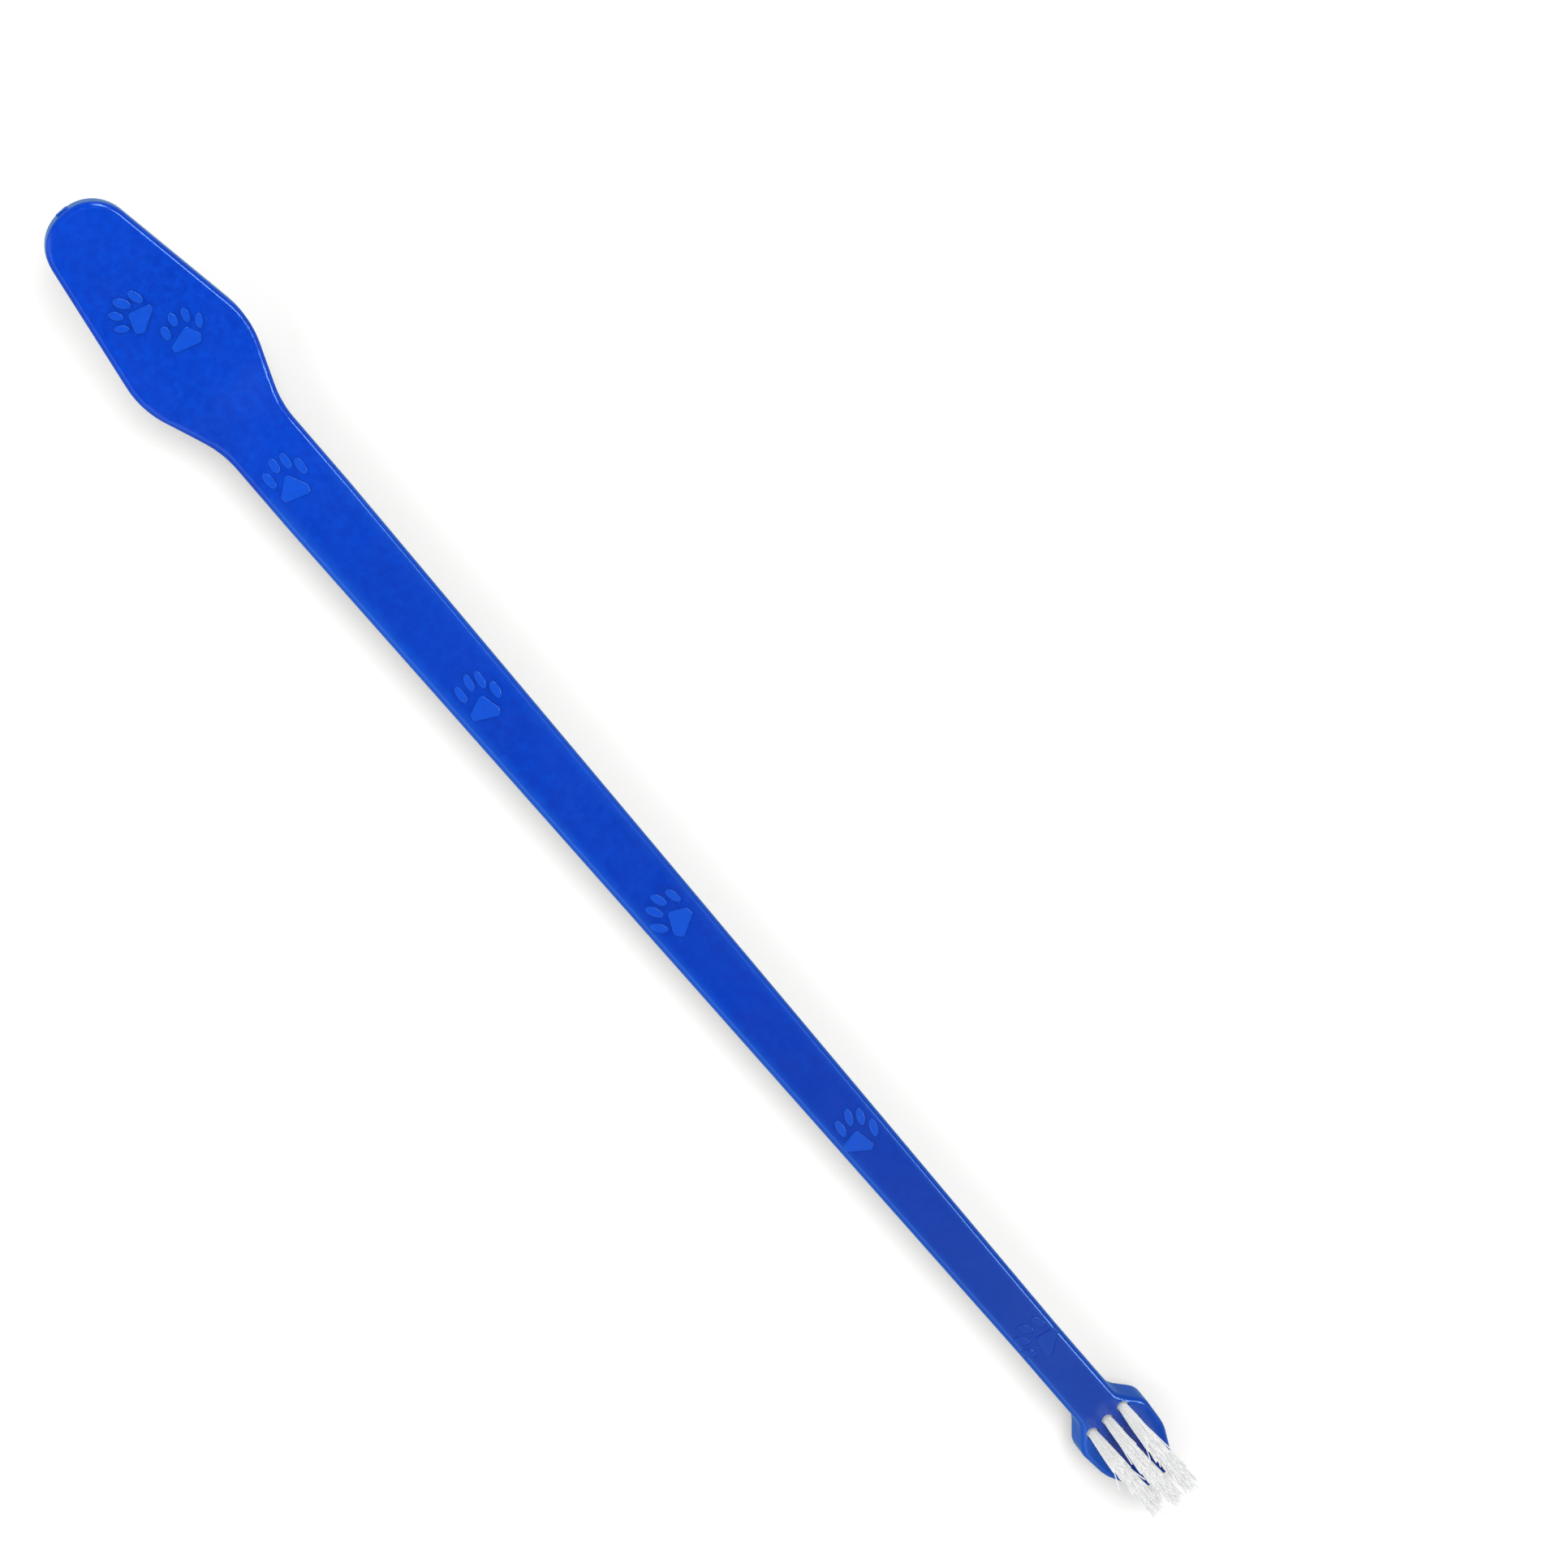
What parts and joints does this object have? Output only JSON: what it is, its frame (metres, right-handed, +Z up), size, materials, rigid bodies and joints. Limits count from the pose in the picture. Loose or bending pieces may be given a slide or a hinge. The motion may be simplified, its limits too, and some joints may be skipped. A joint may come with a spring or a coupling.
{
  "type": "pet toothbrush",
  "caption": "Dual-ended pet toothbrush: slim handle, large teardrop head and small head bent opposite ways, paw-print reliefs, leaning nylon bristle rows.",
  "frame": {"origin": "middle of the brush's length, on the flat underside of the straight handle", "axes": "+X along the handle to the small head, large head at -X; +Z up, the side with the paw prints; large head's bristles point down, small head's bristles point up"},
  "size_m": [0.2196, 0.0178, 0.0248],
  "materials": {
    "handle_plastic": "glossy royal-blue injection-moulded polypropylene",
    "bristle_nylon": "white translucent nylon filament, end-trimmed",
    "anchor_metal": "bright nickel-silver flat wire"
  },
  "bodies": {
    "handle": {"handle": "handle_plastic", "large_head_anchors": "anchor_metal", "small_head_anchors": "anchor_metal", "large_tuft_roots": "bristle_nylon", "small_tuft_roots": "bristle_nylon"},
    "large_row_01": {"large_tuft_r01_c1": "bristle_nylon", "large_tuft_r01_c2": "bristle_nylon", "large_tuft_r01_c3": "bristle_nylon"},
    "large_row_02": {"large_tuft_r02_c1": "bristle_nylon", "large_tuft_r02_c2": "bristle_nylon", "large_tuft_r02_c3": "bristle_nylon"},
    "large_row_03": {"large_tuft_r03_c1": "bristle_nylon", "large_tuft_r03_c2": "bristle_nylon", "large_tuft_r03_c3": "bristle_nylon", "large_tuft_r03_c4": "bristle_nylon"},
    "large_row_04": {"large_tuft_r04_c1": "bristle_nylon", "large_tuft_r04_c2": "bristle_nylon", "large_tuft_r04_c3": "bristle_nylon", "large_tuft_r04_c4": "bristle_nylon"},
    "large_row_05": {"large_tuft_r05_c1": "bristle_nylon", "large_tuft_r05_c2": "bristle_nylon", "large_tuft_r05_c3": "bristle_nylon", "large_tuft_r05_c4": "bristle_nylon"},
    "large_row_06": {"large_tuft_r06_c1": "bristle_nylon", "large_tuft_r06_c2": "bristle_nylon", "large_tuft_r06_c3": "bristle_nylon", "large_tuft_r06_c4": "bristle_nylon"},
    "large_row_07": {"large_tuft_r07_c1": "bristle_nylon", "large_tuft_r07_c2": "bristle_nylon", "large_tuft_r07_c3": "bristle_nylon", "large_tuft_r07_c4": "bristle_nylon"},
    "large_row_08": {"large_tuft_r08_c1": "bristle_nylon", "large_tuft_r08_c2": "bristle_nylon", "large_tuft_r08_c3": "bristle_nylon", "large_tuft_r08_c4": "bristle_nylon", "large_tuft_r08_c5": "bristle_nylon"},
    "large_row_09": {"large_tuft_r09_c1": "bristle_nylon", "large_tuft_r09_c2": "bristle_nylon", "large_tuft_r09_c3": "bristle_nylon", "large_tuft_r09_c4": "bristle_nylon", "large_tuft_r09_c5": "bristle_nylon"},
    "large_row_10": {"large_tuft_r10_c1": "bristle_nylon", "large_tuft_r10_c2": "bristle_nylon", "large_tuft_r10_c3": "bristle_nylon", "large_tuft_r10_c4": "bristle_nylon"},
    "small_row_01": {"small_tuft_r01_c1": "bristle_nylon", "small_tuft_r01_c2": "bristle_nylon", "small_tuft_r01_c3": "bristle_nylon"},
    "small_row_02": {"small_tuft_r02_c1": "bristle_nylon", "small_tuft_r02_c2": "bristle_nylon", "small_tuft_r02_c3": "bristle_nylon"},
    "small_row_03": {"small_tuft_r03_c1": "bristle_nylon", "small_tuft_r03_c2": "bristle_nylon", "small_tuft_r03_c3": "bristle_nylon"},
    "small_row_04": {"small_tuft_r04_c1": "bristle_nylon", "small_tuft_r04_c2": "bristle_nylon", "small_tuft_r04_c3": "bristle_nylon"},
    "small_row_05": {"small_tuft_r05_c1": "bristle_nylon", "small_tuft_r05_c2": "bristle_nylon", "small_tuft_r05_c3": "bristle_nylon"}
  },
  "joints": [
    {"name": "large_row_01_lean", "type": "hinge", "parent": "handle", "child": "large_row_01", "pos_m": [-0.10426, 0, 0.00953], "axis": [0, 1, 0], "range_deg": [-20, 20], "stiffness_Nm_per_rad": 0.0021},
    {"name": "large_row_02_lean", "type": "hinge", "parent": "handle", "child": "large_row_02", "pos_m": [-0.10189, 0, 0.0086], "axis": [0, 1, 0], "range_deg": [-20, 20], "stiffness_Nm_per_rad": 0.0021},
    {"name": "large_row_03_lean", "type": "hinge", "parent": "handle", "child": "large_row_03", "pos_m": [-0.09952, 0, 0.00766], "axis": [0, 1, 0], "range_deg": [-20, 20], "stiffness_Nm_per_rad": 0.0028},
    {"name": "large_row_04_lean", "type": "hinge", "parent": "handle", "child": "large_row_04", "pos_m": [-0.09715, 0, 0.00673], "axis": [0, 1, 0], "range_deg": [-20, 20], "stiffness_Nm_per_rad": 0.0028},
    {"name": "large_row_05_lean", "type": "hinge", "parent": "handle", "child": "large_row_05", "pos_m": [-0.09479, 0, 0.0058], "axis": [0, 1, 0], "range_deg": [-20, 20], "stiffness_Nm_per_rad": 0.0028},
    {"name": "large_row_06_lean", "type": "hinge", "parent": "handle", "child": "large_row_06", "pos_m": [-0.09242, 0, 0.00487], "axis": [0, 1, 0], "range_deg": [-20, 20], "stiffness_Nm_per_rad": 0.0028},
    {"name": "large_row_07_lean", "type": "hinge", "parent": "handle", "child": "large_row_07", "pos_m": [-0.09005, 0, 0.00393], "axis": [0, 1, 0], "range_deg": [-20, 20], "stiffness_Nm_per_rad": 0.0028},
    {"name": "large_row_08_lean", "type": "hinge", "parent": "handle", "child": "large_row_08", "pos_m": [-0.08768, 0, 0.003], "axis": [0, 1, 0], "range_deg": [-20, 20], "stiffness_Nm_per_rad": 0.0035},
    {"name": "large_row_09_lean", "type": "hinge", "parent": "handle", "child": "large_row_09", "pos_m": [-0.08531, 0, 0.00207], "axis": [0, 1, 0], "range_deg": [-20, 20], "stiffness_Nm_per_rad": 0.0035},
    {"name": "large_row_10_lean", "type": "hinge", "parent": "handle", "child": "large_row_10", "pos_m": [-0.08295, 0, 0.00113], "axis": [0, 1, 0], "range_deg": [-20, 20], "stiffness_Nm_per_rad": 0.0028},
    {"name": "small_row_01_lean", "type": "hinge", "parent": "handle", "child": "small_row_01", "pos_m": [0.0962, 0, 0.00254], "axis": [0, 1, 0], "range_deg": [-20, 20], "stiffness_Nm_per_rad": 0.0014},
    {"name": "small_row_02_lean", "type": "hinge", "parent": "handle", "child": "small_row_02", "pos_m": [0.09848, 0, 0.00174], "axis": [0, 1, 0], "range_deg": [-20, 20], "stiffness_Nm_per_rad": 0.0014},
    {"name": "small_row_03_lean", "type": "hinge", "parent": "handle", "child": "small_row_03", "pos_m": [0.10068, 0, 0.00078], "axis": [0, 1, 0], "range_deg": [-20, 20], "stiffness_Nm_per_rad": 0.0014},
    {"name": "small_row_04_lean", "type": "hinge", "parent": "handle", "child": "small_row_04", "pos_m": [0.10281, 0, -0.00034], "axis": [0, 1, 0], "range_deg": [-20, 20], "stiffness_Nm_per_rad": 0.0014},
    {"name": "small_row_05_lean", "type": "hinge", "parent": "handle", "child": "small_row_05", "pos_m": [0.10491, 0, -0.00151], "axis": [0, 1, 0], "range_deg": [-20, 20], "stiffness_Nm_per_rad": 0.0014}
  ],
  "couplings": [
    {"joint": "large_row_02_lean", "follows": "large_row_01_lean", "ratio": 1},
    {"joint": "large_row_03_lean", "follows": "large_row_01_lean", "ratio": 1},
    {"joint": "large_row_04_lean", "follows": "large_row_01_lean", "ratio": 1},
    {"joint": "large_row_05_lean", "follows": "large_row_01_lean", "ratio": 1},
    {"joint": "large_row_06_lean", "follows": "large_row_01_lean", "ratio": 1},
    {"joint": "large_row_07_lean", "follows": "large_row_01_lean", "ratio": 1},
    {"joint": "large_row_08_lean", "follows": "large_row_01_lean", "ratio": 1},
    {"joint": "large_row_09_lean", "follows": "large_row_01_lean", "ratio": 1},
    {"joint": "large_row_10_lean", "follows": "large_row_01_lean", "ratio": 1},
    {"joint": "small_row_02_lean", "follows": "small_row_01_lean", "ratio": 1},
    {"joint": "small_row_03_lean", "follows": "small_row_01_lean", "ratio": 1},
    {"joint": "small_row_04_lean", "follows": "small_row_01_lean", "ratio": 1},
    {"joint": "small_row_05_lean", "follows": "small_row_01_lean", "ratio": 1}
  ]
}
